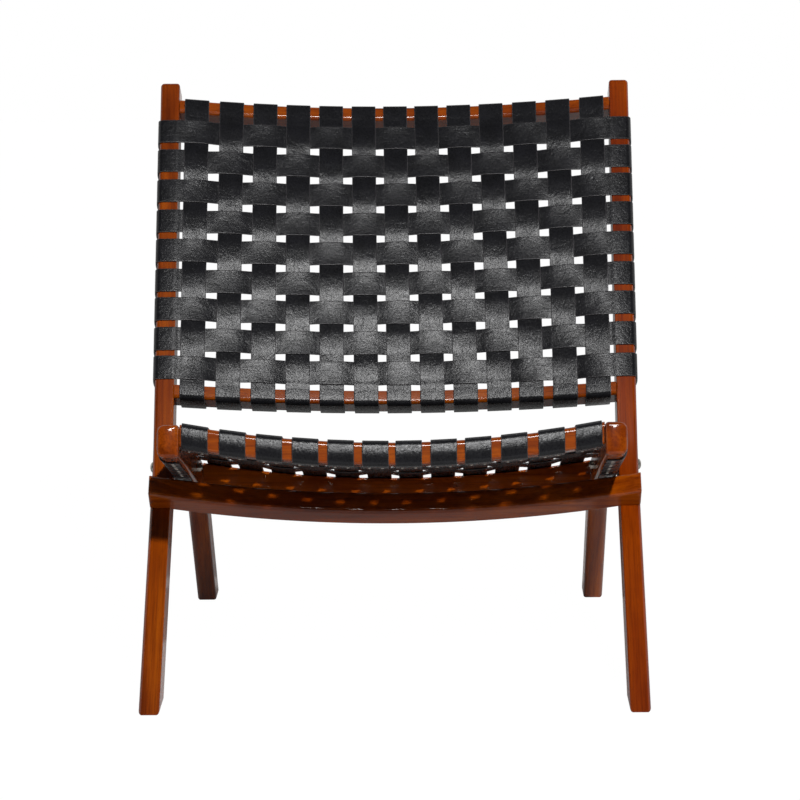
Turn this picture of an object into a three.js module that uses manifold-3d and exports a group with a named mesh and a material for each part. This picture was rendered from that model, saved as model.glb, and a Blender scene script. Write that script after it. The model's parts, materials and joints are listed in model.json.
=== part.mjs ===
// A folding lounge chair: two crossed wooden frames that turn on a pair of pivot bolts,
// with a back and a seat woven from leather straps that wrap round the frames.
//
// Millimetres. +X is to the right for someone facing the chair, +Y to the rear, +Z up.
// The origin is on the floor, at the middle of the room that the chair takes up.

import * as THREE from 'three';
import Module from 'manifold-3d';

const wasm = await Module();
wasm.setup();

const degrees = (value) => THREE.MathUtils.degToRad(value);

// Whole chair
const overallWidth = 635;
const overallHeight = 741; // to the front top corners of the posts, before they are rounded
const pivotHeight = 253;
const fitGap = 0.3; // between pieces that touch
const tenonLength = 14;
const tenonShoulder = 4; // all round a tenon
const tenonRound = 2;
const mortiseOverrun = 1;
const leastRound = 0.5;

// Back frame. Each side is one plank: front leg below the pivot, back post above it.
const legSlant = degrees(46.4); // from the vertical
const backLean = degrees(27.9); // from the vertical
const postThickness = 26;
const postDepth = 50; // at the pivot
const postFootDepth = 48;
const postTopDepth = 40;
const postBendRadius = 150; // at the front face
const postOuterRound = 5;
const postInnerRound = 3.5;
const postEndRound = 5;

// The two bowed rails of the back
const topRailDrop = 25.5; // below the top of the posts
const backRailHeight = 18;
const backRailDepth = 38;
const backRailRound = 3;
const backBow = 34; // how far the rails' middles lie behind their ends
const backBowMiddle = 28; // the same for the weave, midway between the rails

// Front stretcher, on the front of the legs, where the open seat rests
const stretcherHeight = 32;
const stretcherThickness = 33; // over the legs
const stretcherDepth = 28; // between the legs
const stretcherBow = 44;
const stretcherRound = 4;
const stretcherRearRound = 2;

// Seat frame. Each side is one plank: arched seat rail, then a knee, then the rear leg.
const seatSideGap = 3.5; // between the seat frame and the back frame
const seatSideThickness = 27;
const seatFrontSlope = degrees(15.8); // down to the rear, at the front end
const seatArchRadius = 6000;
const seatArchLength = 431;
const kneeRadius = 178;
const rearLegSlope = degrees(49.6); // down to the rear
const seatSideDepth = 41; // at the front end
const seatKneeStartDepth = 43;
const seatKneeEndDepth = 46;
const rearFootDepth = 42;
const seatOuterRound = 10;
const seatInnerRound = 4;
const seatEndRound = 5;

// The two bowed rails of the seat
const seatRailSetback = 12; // behind the front ends of the sides
const seatFrontRailWidth = 30;
const seatRearRailWidth = 24;
const seatRailRise = 1.5; // of the front rail above the tops of the sides
const seatRailDrop = 1; // of the rear rail below them
const seatRailDepth = 28;
const seatRailRound = 6;
const seatRailUnderRound = 4;
const seatFrontBow = 24;
const seatRearBow = 22.5;
const seatBowMiddle = 23.5;

// Leather straps
const strapWidth = 32.4;
const strapThickness = 2.4;
const strapGap = 0.4; // between two straps where they cross
const strapEase = 1.5; // level stretch on each side of a crossing
const strapEndInset = 4; // from a strap's end to the edge of the face that it ends on
const backCrossStrapPitch = 42.2;
const seatCrossStrapPitch = 42;
const backFirstGap = 12; // from the top rail to the first cross strap
const backLastGap = 6.5; // from the last cross strap to the bottom rail
const backLongStrapPitch = 44.6;
const seatLongStrapPitch = 44;
const sideStrapMargin = 1; // least room between a side plank and the nearest strap
const backClearance = 80; // least height of the bottom rail above the pivot
const seatFirstGap = 14; // from the front rail to the first cross strap
const seatLastGap = 23.6; // from the last cross strap to the rear rail
const pivotStrapCount = 6; // cross straps of the seat ahead of the pivot

// Pivot bolts
const boltRadius = 3.2;
const boreClearance = 0.08;
const boltHeadRadius = 7;
const boltHeadHeight = 5;
const boltHeadRim = 1.5;
const boltDomeTurn = degrees(78);
const boltTipLength = 1.5; // past the nut
const spacerRadius = 4.5;
const nutAcrossFlats = 10;
const nutHeight = 5;
const nutChamfer = 0.8;

// How finely curves are divided
const bendSteps = 6;
const archSteps = 8;
const kneeSteps = 6;
const bowSteps = 18;
const cornerSteps = 2;
const domeSteps = 4;
const boltSides = 24;
const searchSteps = 30;

// How many straps fit into a length
const strapsIn = (length, pitch) => Math.max(Math.floor((length - strapWidth) / pitch), 1) + 1;

const postOuterX = overallWidth / 2;
const postInnerX = postOuterX - postThickness;
const seatOuterX = postInnerX - seatSideGap;
const seatInnerX = seatOuterX - seatSideThickness;
const backLongStraps = strapsIn(2 * (postInnerX - sideStrapMargin), backLongStrapPitch);
const seatLongStraps = strapsIn(2 * (seatInnerX - sideStrapMargin), seatLongStrapPitch);

const wood = { color: 0x8a451f, roughness: 0.35, metalness: 0 };
const leather = { color: 0x242427, roughness: 0.5, metalness: 0 };
const steel = { color: 0x9a948c, roughness: 0.35, metalness: 1 };

const chair = new THREE.Group();

function addPiece(name, geometry, finish) {
  const mesh = new THREE.Mesh(geometry, new THREE.MeshStandardMaterial(finish));
  mesh.name = name;
  chair.add(mesh);
}

// Points of a side view are (y, z) pairs.
const side = (y, z) => new THREE.Vector2(y, z);
const along = (origin, direction, distance) => origin.clone().addScaledVector(direction, distance);
const at = (x, point) => new THREE.Vector3(x, point.x, point.y);

// Closed solids

function enclosedVolume(points, triangles) {
  let volume = 0;
  for (let t = 0; t < triangles.length; t += 3) {
    const [a, b, c] = [points[triangles[t]], points[triangles[t + 1]], points[triangles[t + 2]]];
    volume += a.dot(new THREE.Vector3().crossVectors(b, c)) / 6;
  }
  return volume;
}

function closedGeometry(points, triangles) {
  if (enclosedVolume(points, triangles) < 0) triangles.reverse();
  const geometry = new THREE.BufferGeometry();
  geometry.setAttribute(
    'position',
    new THREE.Float32BufferAttribute(points.flatMap((point) => point.toArray()), 3),
  );
  geometry.setIndex(triangles);
  geometry.computeVertexNormals();
  return geometry;
}

// Joins rings of equally many points into one solid. Its ends are convex and closed by fans.
function loft(rings) {
  const size = rings[0].length;
  const last = (rings.length - 1) * size;
  const triangles = [];
  for (let base = 0; base < last; base += size) {
    for (let i = 0; i < size; i += 1) {
      const a = base + i;
      const b = base + ((i + 1) % size);
      triangles.push(a, b, b + size, a, b + size, a + size);
    }
  }
  for (let i = 1; i < size - 1; i += 1) {
    triangles.push(0, i + 1, i);
    triangles.push(last, last + i, last + i + 1);
  }
  return closedGeometry(rings.flat(), triangles);
}

function toManifold(geometry) {
  const mesh = new wasm.Mesh({
    numProp: 3,
    vertProperties: new Float32Array(geometry.attributes.position.array),
    triVerts: new Uint32Array(geometry.index.array),
  });
  return new wasm.Manifold(mesh);
}

function cutAway(geometry, cutters) {
  let body = toManifold(geometry);
  for (const cutter of cutters) body = body.subtract(toManifold(cutter));
  const mesh = body.getMesh();
  const result = new THREE.BufferGeometry();
  result.setAttribute('position', new THREE.Float32BufferAttribute(mesh.vertProperties, 3));
  result.setIndex([...mesh.triVerts]);
  result.computeVertexNormals();
  return result;
}

// A rectangle with rounded corners, as [u, v] pairs. rounds are at
// (low u, high v), (high u, high v), (high u, low v) and (low u, low v).
function roundedRectangle(lowU, highU, lowV, highV, rounds) {
  const corners = [
    [lowU + rounds[0], highV - rounds[0], Math.PI],
    [highU - rounds[1], highV - rounds[1], Math.PI / 2],
    [highU - rounds[2], lowV + rounds[2], 0],
    [lowU + rounds[3], lowV + rounds[3], -Math.PI / 2],
  ];
  return corners.flatMap(([u, v, start], corner) => {
    const points = [];
    for (let step = 0; step <= cornerSteps; step += 1) {
      const angle = start - (step / cornerSteps) * (Math.PI / 2);
      points.push([u + rounds[corner] * Math.cos(angle), v + rounds[corner] * Math.sin(angle)]);
    }
    return points;
  });
}

// The side planks

// Where the line through a along u meets the line through b along v
function meet(a, u, b, v) {
  const distance = b.clone().sub(a).cross(v) / u.cross(v);
  return along(a, u, distance);
}

// Points of an arc of the given radius that rounds off the corner between two directions
function roundedCorner(corner, before, after, radius) {
  const turn = Math.asin(before.cross(after));
  const tangent = radius * Math.tan(Math.abs(turn) / 2);
  const start = along(corner, before, -tangent);
  const normal = side(-before.y, before.x).multiplyScalar(Math.sign(turn));
  const centre = along(start, normal, radius);
  const points = [];
  for (let step = 0; step <= bendSteps; step += 1) {
    const spoke = start.clone().rotateAround(centre, (turn * step) / bendSteps);
    points.push(spoke);
  }
  return points;
}

// One ring round a side plank. A station holds the front and rear points of its side view,
// its inset at a rounded end, and its depth square to the plank.
function plankRing(station, outerX, innerX, outerRound, innerRound) {
  const { front, rear, inset, depth } = station;
  const across = rear.clone().sub(front).divideScalar(depth);
  const rounds = [innerRound, outerRound, outerRound, innerRound];
  const section = roundedRectangle(
    Math.abs(innerX) + inset,
    Math.abs(outerX) - inset,
    inset,
    depth - inset,
    rounds.map((round) => Math.max(round - inset, leastRound)),
  );
  return section.map(([x, distance]) => at(Math.sign(outerX) * x, along(front, across, distance)));
}

// How a free end is rounded off: shares of its round, for the distance from the end and the
// inset there
const endRoundShares = [
  [1, 0],
  [0.3, 0.3],
  [0, 1],
];

// Side view of the back frame

const legUp = side(Math.sin(legSlant), Math.cos(legSlant));
const legOut = side(-Math.cos(legSlant), Math.sin(legSlant));
const postUp = side(Math.sin(backLean), Math.cos(backLean));
const postOut = side(-Math.cos(backLean), Math.sin(backLean));

// The leg's front face starts at the origin, and the pivot is on the middle of the plank.
const pivotAlongLeg = (pivotHeight + (postDepth / 2) * legOut.y) / legUp.y;
const pivot = along(along(side(0, 0), legUp, pivotAlongLeg), legOut, -postDepth / 2);
const postFrontBase = along(pivot, postOut, postDepth / 2);
const postRearBase = along(pivot, postOut, -postDepth / 2);
const postTopAlong = (overallHeight - postFrontBase.y) / postUp.y;
const postTopFront = along(postFrontBase, postUp, postTopAlong);
const postTopRear = along(postTopFront, postOut, -postTopDepth);

function backSideStations() {
  const legRear = along(pivot, legOut, -postDepth / 2);
  const frontBend = meet(side(0, 0), legUp, postFrontBase, postUp);
  const rearBend = meet(legRear, legUp, postRearBase, postUp);
  const footRearStart = along(side(0, 0), legOut, -postFootDepth);
  const legRearUp = rearBend.clone().sub(footRearStart).normalize();
  const postRearUp = postTopRear.clone().sub(rearBend).normalize();
  const footRear = meet(footRearStart, legRearUp, side(0, 0), side(1, 0));
  const fronts = roundedCorner(frontBend, legUp, postUp, postBendRadius);
  const rears = roundedCorner(rearBend, legRearUp, postRearUp, postBendRadius + postDepth);
  const stations = [{ front: side(0, 0), rear: footRear, inset: 0, depth: postFootDepth }];
  fronts.forEach((front, i) => {
    stations.push({ front, rear: rears[i], inset: 0, depth: front.distanceTo(rears[i]) });
  });
  for (const [distanceShare, insetShare] of endRoundShares) {
    stations.push({
      front: along(postTopFront, postUp, -distanceShare * postEndRound),
      rear: along(postTopRear, postRearUp, -distanceShare * postEndRound),
      inset: insetShare * postEndRound,
      depth: postTopDepth,
    });
  }
  return stations;
}

function backSide(sign) {
  const rings = backSideStations().map((station) =>
    plankRing(station, sign * postOuterX, sign * postInnerX, postOuterRound, postInnerRound),
  );
  return loft(rings);
}

// Side view of the seat frame. Its centre line is an arch, a knee and a straight leg,
// measured by the distance from its front end.

const archTurn = seatArchLength / seatArchRadius;
const kneeTurn = rearLegSlope - seatFrontSlope - archTurn;
const kneeLength = kneeRadius * kneeTurn;

const frontRailStart = seatRailSetback;
const frontRailEnd = frontRailStart + seatFrontRailWidth;
const seatFirstStrap = frontRailEnd + seatFirstGap;
const seatWeaveRoom = seatArchLength - seatFirstStrap - seatLastGap - seatRearRailWidth;
const seatCrossStraps = strapsIn(seatWeaveRoom, seatCrossStrapPitch);
const seatWeaveLength = (seatCrossStraps - 1) * seatCrossStrapPitch + strapWidth;
const rearRailStart = seatFirstStrap + seatWeaveLength + seatLastGap;
const rearRailEnd = rearRailStart + seatRearRailWidth;

// The pivot bolt passes between two cross straps.
const seatStrapSpace = seatCrossStrapPitch - strapWidth;
const pivotStation =
  seatFirstStrap + pivotStrapCount * seatCrossStrapPitch - seatStrapSpace / 2;

function arcEnd(start, slope, length, radius) {
  const turned = slope + length / radius;
  return side(
    start.x + radius * (Math.sin(turned) - Math.sin(slope)),
    start.y + radius * (Math.cos(turned) - Math.cos(slope)),
  );
}

function centreLine(start, distance) {
  const archPart = Math.min(distance, seatArchLength);
  const kneePart = Math.min(Math.max(distance - seatArchLength, 0), kneeLength);
  const legPart = Math.max(distance - seatArchLength - kneeLength, 0);
  const archSlope = seatFrontSlope + archPart / seatArchRadius;
  const slope = archSlope + kneePart / kneeRadius;
  const archPoint = arcEnd(start, seatFrontSlope, archPart, seatArchRadius);
  const kneePoint = arcEnd(archPoint, archSlope, kneePart, kneeRadius);
  const point = along(kneePoint, side(Math.cos(slope), -Math.sin(slope)), legPart);
  return { point, slope };
}

const seatStart = pivot.clone().sub(centreLine(side(0, 0), pivotStation).point);
const kneeEnd = seatArchLength + kneeLength;
const rearLegLength = centreLine(seatStart, kneeEnd).point.y / Math.sin(rearLegSlope);
const floorStation = kneeEnd + rearLegLength;

const seatDepthStations = [
  [0, seatSideDepth],
  [seatArchLength, seatKneeStartDepth],
  [kneeEnd, seatKneeEndDepth],
  [floorStation, rearFootDepth],
];

function seatSideDepthAt(distance) {
  const next = Math.max(1, seatDepthStations.findIndex(([station]) => station >= distance));
  const [beforeStation, beforeDepth] = seatDepthStations[next - 1];
  const [afterStation, afterDepth] = seatDepthStations[next];
  const share = (distance - beforeStation) / (afterStation - beforeStation);
  return THREE.MathUtils.lerp(beforeDepth, afterDepth, share);
}

// The seat plank's upper and lower faces at a distance along it, with its directions there
function seatStation(distance) {
  const { point, slope } = centreLine(seatStart, distance);
  const rearward = side(Math.cos(slope), -Math.sin(slope));
  const up = side(Math.sin(slope), Math.cos(slope));
  const depth = seatSideDepthAt(distance);
  return {
    rearward,
    up,
    depth,
    top: along(point, up, depth / 2),
    under: along(point, up, -depth / 2),
  };
}

const stationAt = ({ top, under, depth }, inset) => ({ front: top, rear: under, inset, depth });

function seatSideStations() {
  const stations = [];
  for (const [distanceShare, insetShare] of [...endRoundShares].reverse()) {
    const distance = distanceShare * seatEndRound;
    stations.push(stationAt(seatStation(distance), insetShare * seatEndRound));
  }
  for (let i = 1; i <= archSteps; i += 1) {
    stations.push(stationAt(seatStation((seatArchLength * i) / archSteps), 0));
  }
  for (let i = 1; i <= kneeSteps; i += 1) {
    stations.push(stationAt(seatStation(seatArchLength + (kneeLength * i) / kneeSteps), 0));
  }
  const knee = seatStation(kneeEnd);
  const foot = seatStation(floorStation);
  const topLine = foot.top.clone().sub(knee.top);
  const underLine = foot.under.clone().sub(knee.under);
  stations.push({
    front: meet(knee.top, topLine, side(0, 0), side(1, 0)),
    rear: meet(knee.under, underLine, side(0, 0), side(1, 0)),
    inset: 0,
    depth: rearFootDepth,
  });
  return stations;
}

function seatSide(sign) {
  const rings = seatSideStations().map((station) =>
    plankRing(station, sign * seatOuterX, sign * seatInnerX, seatOuterRound, seatInnerRound),
  );
  return loft(rings);
}

// Panels. A panel is a woven field between two rails and two side planks. A place on it is
// x across, a distance along it, and a level above the faces of the planks. A rail lies
// between its outer and inner distances, with its ends at its level, and bows away from there.

const strapReach = strapThickness / 2 + fitGap; // from a wooden face to a strap's middle
const weaveLift = (strapThickness + strapGap) / 2;
const backFirstStrap = topRailDrop + backRailHeight + backFirstGap;
const backRoom = postTopAlong - backFirstStrap - backClearance - backLastGap - backRailHeight;
const backCrossStraps = strapsIn(backRoom, backCrossStrapPitch);
const backWeave = (backCrossStraps - 1) * backCrossStrapPitch + strapWidth;
const bottomRailTop = backFirstStrap + backWeave + backLastGap;

const backPanel = {
  place: (x, down, level) =>
    at(x, along(along(postTopFront, postUp, -down), postOut, level)),
  plankOuter: postOuterX,
  plankInner: postInnerX,
  plankOuterRound: postOuterRound,
  plankInnerRound: postInnerRound,
  plankDepth: (down) => THREE.MathUtils.lerp(postTopDepth, postDepth, down / postTopAlong),
  rails: [
    { outer: topRailDrop, inner: topRailDrop + backRailHeight, level: 0, bow: backBow },
    { outer: bottomRailTop + backRailHeight, inner: bottomRailTop, level: 0, bow: backBow },
  ],
  railDepth: backRailDepth,
  railRound: backRailRound,
  railUnderRound: backRailRound,
  bowMiddle: backBowMiddle,
  firstCrossStrap: backFirstStrap,
  crossStraps: backCrossStraps,
  crossStrapPitch: backCrossStrapPitch,
  longStraps: backLongStraps,
  longStrapPitch: backLongStrapPitch,
};

const seatPanel = {
  place: (x, distance, level) => {
    const { top, up } = seatStation(distance);
    return at(x, along(top, up, level));
  },
  plankOuter: seatOuterX,
  plankInner: seatInnerX,
  plankOuterRound: seatOuterRound,
  plankInnerRound: seatInnerRound,
  plankDepth: seatSideDepthAt,
  rails: [
    { outer: frontRailStart, inner: frontRailEnd, level: seatRailRise, bow: seatFrontBow },
    { outer: rearRailEnd, inner: rearRailStart, level: -seatRailDrop, bow: seatRearBow },
  ],
  railDepth: seatRailDepth,
  railRound: seatRailRound,
  railUnderRound: seatRailUnderRound,
  bowMiddle: seatBowMiddle,
  firstCrossStrap: seatFirstStrap,
  crossStraps: seatCrossStraps,
  crossStrapPitch: seatCrossStrapPitch,
  longStraps: seatLongStraps,
  longStrapPitch: seatLongStrapPitch,
};

// A bow is a parabola from one side plank to the other.
function bowShare(x, halfSpan) {
  return Math.max(1 - (x / halfSpan) ** 2, 0);
}

function weaveLevel(panel, x, distance) {
  const [first, last] = panel.rails;
  const share = (distance - first.inner) / (last.inner - first.inner);
  const betweenRails = THREE.MathUtils.lerp(first.bow, last.bow, share);
  const bow = THREE.MathUtils.lerp(betweenRails, panel.bowMiddle, 4 * share * (1 - share));
  return strapReach - bow * bowShare(x, panel.plankInner);
}

// Rails

// The level of a rail's face, where the straps lie on it
const railFace = (panel, { level, bow }, x) => level - bow * bowShare(x, panel.plankInner);

function railRounds(panel, { outer, inner }) {
  const { railRound, railUnderRound } = panel;
  const rounds = [railRound, backRailRound, backRailRound, railUnderRound];
  if (outer < inner) return rounds;
  return [rounds[1], rounds[0], rounds[3], rounds[2]];
}

function railRing(panel, place, x, inset, rounds) {
  const { outer, inner } = place;
  const face = railFace(panel, place, x);
  const section = roundedRectangle(
    Math.min(outer, inner) + inset,
    Math.max(outer, inner) - inset,
    face - panel.railDepth + inset,
    face - inset,
    rounds,
  );
  return section.map(([distance, level]) => panel.place(x, distance, level));
}

const tenonRounds = [tenonRound, tenonRound, tenonRound, tenonRound];

// A bowed rail with a tenon at each end
function rail(panel, place) {
  const shoulder = panel.plankInner - fitGap;
  const tip = panel.plankInner + tenonLength;
  const rounds = railRounds(panel, place);
  const straight = { ...place, bow: 0 };
  const tenon = (x) => railRing(panel, straight, x, tenonShoulder, tenonRounds);
  const rings = [tenon(-tip), tenon(-shoulder)];
  for (let step = 0; step <= bowSteps; step += 1) {
    const x = THREE.MathUtils.lerp(-shoulder, shoulder, step / bowSteps);
    rings.push(railRing(panel, place, x, 0, rounds));
  }
  rings.push(tenon(shoulder), tenon(tip));
  return loft(rings);
}

// The hollow in a side plank for a rail's tenon
function mortise(panel, place, sign) {
  const straight = { ...place, bow: 0 };
  const inset = tenonShoulder - fitGap;
  const mouth = sign * (panel.plankInner - mortiseOverrun);
  const end = sign * (panel.plankInner + tenonLength + fitGap);
  return loft([mouth, end].map((x) => railRing(panel, straight, x, inset, tenonRounds)));
}

// Straps. A strap is laid along a path of [distance, level] points at each of its two edges.

const strapEdges = (middle) => [middle - strapWidth / 2, middle + strapWidth / 2];

// Moves a path sideways, towards its left.
function offsetPath(points, offset) {
  const normals = points.slice(1).map((point, i) => {
    const step = side(point[0] - points[i][0], point[1] - points[i][1]).normalize();
    return side(-step.y, step.x);
  });
  return points.map(([u, v], i) => {
    const before = normals[Math.max(i - 1, 0)];
    const after = normals[Math.min(i, normals.length - 1)];
    const mitre = before.clone().add(after).divideScalar(1 + before.dot(after));
    return [u + offset * mitre.x, v + offset * mitre.y];
  });
}

// place(edge, u, v) gives the point in space.
function strap(edges, pathAt, place) {
  const faces = [strapThickness / 2, -strapThickness / 2].map((offset) =>
    edges.map((edge) => offsetPath(pathAt(edge), offset)),
  );
  const [[nearOver, farOver], [nearUnder, farUnder]] = faces;
  const [near, far] = edges;
  const rings = nearOver.map((point, i) => [
    place(near, ...point),
    place(far, ...farOver[i]),
    place(far, ...farUnder[i]),
    place(near, ...nearUnder[i]),
  ]);
  return loft(rings);
}

// The way round a rail or a side plank, from the woven face to the strap's end behind it
function wrapPath(inner, outer, face, depth, faceRound, underRound) {
  const outward = Math.sign(outer - inner);
  const under = face - depth;
  const points = [];
  const addCorner = (round, level, start) => {
    for (let step = 0; step <= cornerSteps; step += 1) {
      const angle = start - (step / cornerSteps) * (Math.PI / 2);
      const reach = round + strapReach;
      points.push([
        outer + outward * (reach * Math.cos(angle) - round),
        level + reach * Math.sin(angle),
      ]);
    }
  };
  addCorner(faceRound, face - faceRound, Math.PI / 2);
  addCorner(underRound, under + underRound, 0);
  points.push([inner + outward * strapEndInset, under - strapReach]);
  return points;
}

// Level stretches where a strap crosses the others, over and under by turns
function weavePath(crossings, levelAt, overFirst) {
  const half = strapWidth / 2 + strapEase;
  return crossings.flatMap((middle, i) => {
    const lift = (i % 2 === 0) === overFirst ? weaveLift : -weaveLift;
    return [middle - half, middle + half].map((u) => [u, levelAt(u) + lift]);
  });
}

function crossStrapMiddles(panel) {
  const first = panel.firstCrossStrap + strapWidth / 2;
  return Array.from({ length: panel.crossStraps }, (_, i) => first + i * panel.crossStrapPitch);
}

function longStrapMiddles(panel) {
  const count = panel.longStraps;
  return Array.from({ length: count }, (_, i) => (i - (count - 1) / 2) * panel.longStrapPitch);
}

// A strap from rail to rail
function longStrap(panel, index) {
  const crossings = crossStrapMiddles(panel);
  const pathAt = (x) => {
    const [start, end] = panel.rails.map((place) => {
      const { inner, outer } = place;
      const { railDepth, railRound, railUnderRound } = panel;
      const face = railFace(panel, place, x);
      const round = wrapPath(inner, outer, face, railDepth, railRound, railUnderRound);
      return [[inner, face + strapReach], ...round];
    });
    const weave = weavePath(crossings, (u) => weaveLevel(panel, x, u), index % 2 === 1);
    return [...start.reverse(), ...weave, ...end];
  };
  return strap(strapEdges(longStrapMiddles(panel)[index]), pathAt, (x, u, v) =>
    panel.place(x, u, v),
  );
}

// A strap from side to side
function crossStrap(panel, index) {
  const crossings = longStrapMiddles(panel);
  const { plankInner, plankOuter, plankInnerRound, plankOuterRound } = panel;
  const pathAt = (distance) => {
    const depth = panel.plankDepth(distance);
    const [start, end] = [-1, 1].map((sign) => [
      [sign * (plankInner + plankInnerRound), strapReach],
      ...wrapPath(
        sign * plankInner,
        sign * plankOuter,
        0,
        depth,
        plankOuterRound,
        plankOuterRound,
      ),
    ]);
    const weave = weavePath(crossings, (u) => weaveLevel(panel, u, distance), index % 2 === 0);
    return [...start.reverse(), ...weave, ...end];
  };
  return strap(strapEdges(crossStrapMiddles(panel)[index]), pathAt, (distance, u, v) =>
    panel.place(u, distance, v),
  );
}

// Front stretcher. A place on it is a distance up the legs and a height off their front faces.

const legPoint = (up, off) => along(along(side(0, 0), legUp, up), legOut, off);

function stretcherSection(x, top, inset, overLeg) {
  const front = stretcherThickness - stretcherBow * bowShare(x, postOuterX);
  const rear = overLeg ? fitGap : front - stretcherDepth;
  const rounds = [stretcherRearRound, stretcherRound, stretcherRound, stretcherRearRound];
  return roundedRectangle(
    rear + inset,
    front - inset,
    top - stretcherHeight + inset,
    top - inset,
    rounds.map((round) => Math.max(round - inset, leastRound)),
  ).map(([off, up]) => legPoint(up, off));
}

// How far a point of the side view lies below the underside of the seat frame
function roomUnderSeat(point) {
  let distance = pivotStation;
  for (let i = 0; i < searchSteps; i += 1) {
    const { top, rearward } = seatStation(distance);
    distance += point.clone().sub(top).dot(rearward);
  }
  const { under, up } = seatStation(distance);
  return under.clone().sub(point).dot(up);
}

// The open seat rests on the stretcher through its cross straps, so the stretcher is set as
// high as they let it be.
function findStretcherTop() {
  const restX = seatOuterX - seatOuterRound;
  const room = strapThickness + 2 * fitGap;
  let low = stretcherHeight;
  let high = pivotAlongLeg;
  for (let i = 0; i < searchSteps; i += 1) {
    const middle = (low + high) / 2;
    const nearest = Math.min(...stretcherSection(restX, middle, 0, false).map(roomUnderSeat));
    if (nearest > room) low = middle;
    else high = middle;
  }
  return low;
}

function stretcher() {
  const top = findStretcherTop();
  const shoulder = postInnerX - fitGap;
  const easing = stretcherRearRound;
  const ring = (x, inset, overLeg) =>
    stretcherSection(x, top, inset, overLeg).map((point) => at(x, point));
  const leftEnd = [ring(-postOuterX, easing, true), ring(easing - postOuterX, 0, true)];
  const rightEnd = [ring(postOuterX - easing, 0, true), ring(postOuterX, easing, true)];
  const rings = [...leftEnd, ring(-shoulder, 0, true)];
  for (let step = 0; step <= bowSteps; step += 1) {
    rings.push(ring(THREE.MathUtils.lerp(-shoulder, shoulder, step / bowSteps), 0, false));
  }
  rings.push(ring(shoulder, 0, true), ...rightEnd);
  return loft(rings);
}

// Pivots

// A body turned round the pivot's axis, from [x, radius] stations
function turned(stations, sides = boltSides) {
  const rings = stations.map(([x, radius]) =>
    Array.from({ length: sides }, (_, i) => {
      const angle = (2 * Math.PI * i) / sides;
      return new THREE.Vector3(
        x,
        pivot.x + radius * Math.cos(angle),
        pivot.y + radius * Math.sin(angle),
      );
    }),
  );
  return loft(rings);
}

const boreRadius = boltRadius + boreClearance;
const nutSeat = seatInnerX - fitGap;
const bore = (sign) =>
  turned([
    [sign * (nutSeat - 2 * nutHeight), boreRadius],
    [sign * (postOuterX + boltHeadHeight), boreRadius],
  ]);

function pivotBolt(sign) {
  const seat = postOuterX + fitGap;
  const tip = nutSeat - nutHeight - boltTipLength;
  const stations = [
    [tip, boltRadius - boltTipLength / 2],
    [tip + boltTipLength / 2, boltRadius],
    [seat, boltRadius],
    [seat, boltHeadRadius],
  ];
  for (let step = 0; step <= domeSteps; step += 1) {
    const angle = (step / domeSteps) * boltDomeTurn;
    stations.push([
      seat + boltHeadRim + (boltHeadHeight - boltHeadRim) * Math.sin(angle),
      boltHeadRadius * Math.cos(angle),
    ]);
  }
  return turned(stations.map(([x, radius]) => [sign * x, radius]));
}

function pivotSpacer(sign) {
  const body = turned([
    [sign * (seatOuterX + fitGap), spacerRadius],
    [sign * (postInnerX - fitGap), spacerRadius],
  ]);
  return cutAway(body, [bore(sign)]);
}

function pivotNut(sign) {
  const corner = nutAcrossFlats / 2 / Math.cos(Math.PI / 6);
  const body = turned(
    [
      [sign * nutSeat, corner],
      [sign * (nutSeat - nutHeight + nutChamfer), corner],
      [sign * (nutSeat - nutHeight), corner - nutChamfer],
    ],
    6,
  );
  return cutAway(body, [bore(sign)]);
}

// Assembly

const twoSides = [
  ['left', -1],
  ['right', 1],
];

for (const [name, sign] of twoSides) {
  const backHollows = backPanel.rails.map((place) => mortise(backPanel, place, sign));
  const seatHollows = seatPanel.rails.map((place) => mortise(seatPanel, place, sign));
  addPiece(`back_side_${name}`, cutAway(backSide(sign), [...backHollows, bore(sign)]), wood);
  addPiece(`seat_side_${name}`, cutAway(seatSide(sign), [...seatHollows, bore(sign)]), wood);
}
addPiece('back_top_rail', rail(backPanel, backPanel.rails[0]), wood);
addPiece('back_bottom_rail', rail(backPanel, backPanel.rails[1]), wood);
addPiece('seat_front_rail', rail(seatPanel, seatPanel.rails[0]), wood);
addPiece('seat_rear_rail', rail(seatPanel, seatPanel.rails[1]), wood);
addPiece('front_stretcher', stretcher(), wood);

const numbered = (index) => String(index + 1).padStart(2, '0');

for (const [name, panel] of [['back', backPanel], ['seat', seatPanel]]) {
  for (let i = 0; i < panel.longStraps; i += 1) {
    addPiece(`${name}_long_strap_${numbered(i)}`, longStrap(panel, i), leather);
  }
  for (let i = 0; i < panel.crossStraps; i += 1) {
    addPiece(`${name}_cross_strap_${numbered(i)}`, crossStrap(panel, i), leather);
  }
}

for (const [name, sign] of twoSides) {
  addPiece(`pivot_bolt_${name}`, pivotBolt(sign), steel);
  addPiece(`pivot_spacer_${name}`, pivotSpacer(sign), steel);
  addPiece(`pivot_nut_${name}`, pivotNut(sign), steel);
}

// The chair reaches from the tips of the front feet to the rear tips of the rear feet.
const rearmost = seatSideStations().at(-1).front.x;
for (const mesh of chair.children) mesh.geometry.translate(0, -rearmost / 2, 0);

export default chair;
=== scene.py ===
# %% [markdown]
# # A folding lounge chair with a woven leather back and seat
#
# The chair is two wooden frames that cross and turn on a pair of bolts. Each frame carries a
# panel of leather straps, woven over and under by turns and wrapped round the wood. The packed
# model is loaded first. It is the fixed frame that every piece below is built around, so a
# piece goes where the model says, in metres.

# %% The frame
import json
import math
import random

import bpy
import numpy as np
from mathutils import Matrix, Vector


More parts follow.
